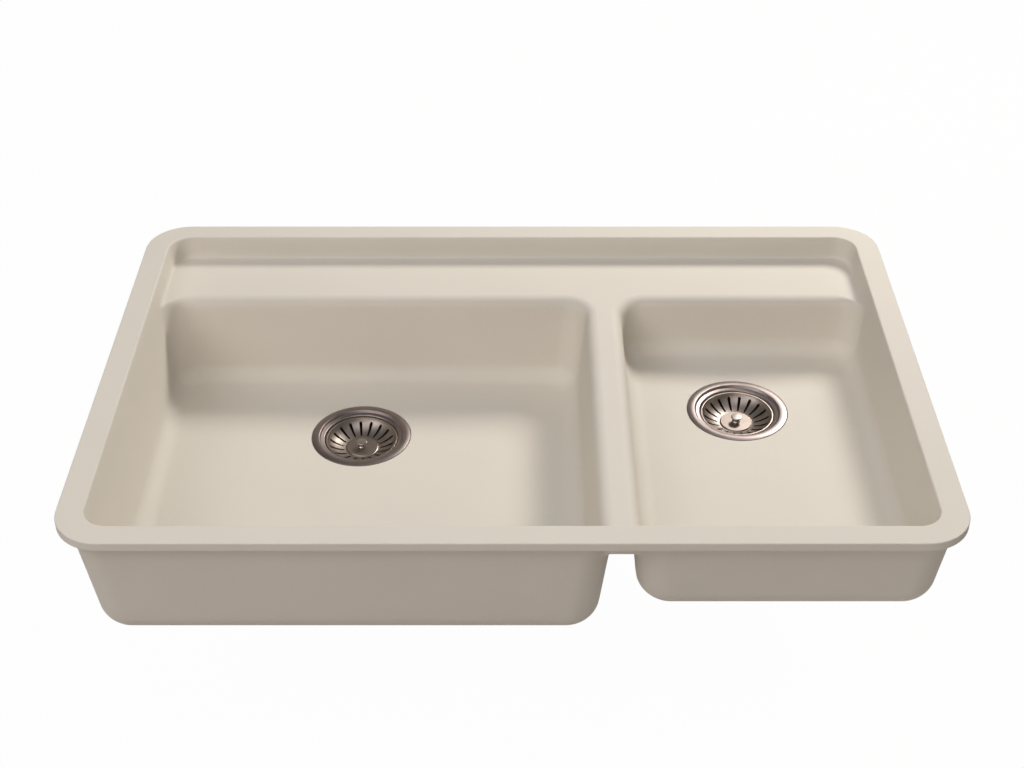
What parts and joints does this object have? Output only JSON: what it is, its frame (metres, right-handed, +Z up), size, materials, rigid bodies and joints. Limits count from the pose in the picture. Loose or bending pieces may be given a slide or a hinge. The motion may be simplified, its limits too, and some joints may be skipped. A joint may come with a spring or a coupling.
{
  "type": "double bowl kitchen sink",
  "caption": "Cast undermount double bowl kitchen sink with a flat flange, a recessed rear ledge, a low divider and a lift-out basket strainer in each bowl.",
  "frame": {"origin": "middle of the flange's top face, which seals against the underside of the worktop", "axes": "+X to the right towards the small bowl, +Y to the back towards the ledge, +Z up"},
  "size_m": [0.88, 0.59, 0.3012],
  "materials": {
    "cast_basin": "matte cast solid surface, bisque",
    "satin_steel": "satin pressed stainless steel",
    "basket_steel": "satin pressed stainless steel",
    "stem_steel": "turned stainless steel",
    "putty": "plumber's putty",
    "black_rubber": "moulded black rubber",
    "fibre": "pressed fibre washer",
    "cast_brass": "cast brass",
    "white_nylon": "moulded nylon",
    "chromed_brass": "chromed brass tube"
  },
  "bodies": {
    "sink": {"basin": "cast_basin", "large_strainer_body": "satin_steel", "large_putty_ring": "putty", "large_rubber_gasket": "black_rubber", "large_friction_washer": "fibre", "large_locknut": "cast_brass", "large_tail_washer": "white_nylon", "large_tailpiece": "chromed_brass", "large_coupling_nut": "chromed_brass", "small_strainer_body": "satin_steel", "small_putty_ring": "putty", "small_rubber_gasket": "black_rubber", "small_friction_washer": "fibre", "small_locknut": "cast_brass", "small_tail_washer": "white_nylon", "small_tailpiece": "chromed_brass", "small_coupling_nut": "chromed_brass"},
    "large_stopper": {"large_basket_stem": "stem_steel", "large_stopper_plate": "stem_steel", "large_stopper_seal": "black_rubber"},
    "large_basket_body": {"large_basket": "basket_steel"},
    "small_stopper": {"small_basket_stem": "stem_steel", "small_stopper_plate": "stem_steel", "small_stopper_seal": "black_rubber"},
    "small_basket_body": {"small_basket": "basket_steel"}
  },
  "joints": [
    {"name": "large_basket_lift", "type": "slide", "parent": "sink", "child": "large_stopper", "axis": [0, 0, 1], "range_m": [0, 0.185]},
    {"name": "large_basket_turn", "type": "hinge", "parent": "large_stopper", "child": "large_basket_body", "pos_m": [-0.1737, 0.04552, -0.1475], "axis": [0, 0, 1], "continuous": true},
    {"name": "small_basket_lift", "type": "slide", "parent": "sink", "child": "small_stopper", "axis": [0, 0, 1], "range_m": [0, 0.15]},
    {"name": "small_basket_turn", "type": "hinge", "parent": "small_stopper", "child": "small_basket_body", "pos_m": [0.25582, 0.04552, -0.1115], "axis": [0, 0, 1], "continuous": true}
  ]
}
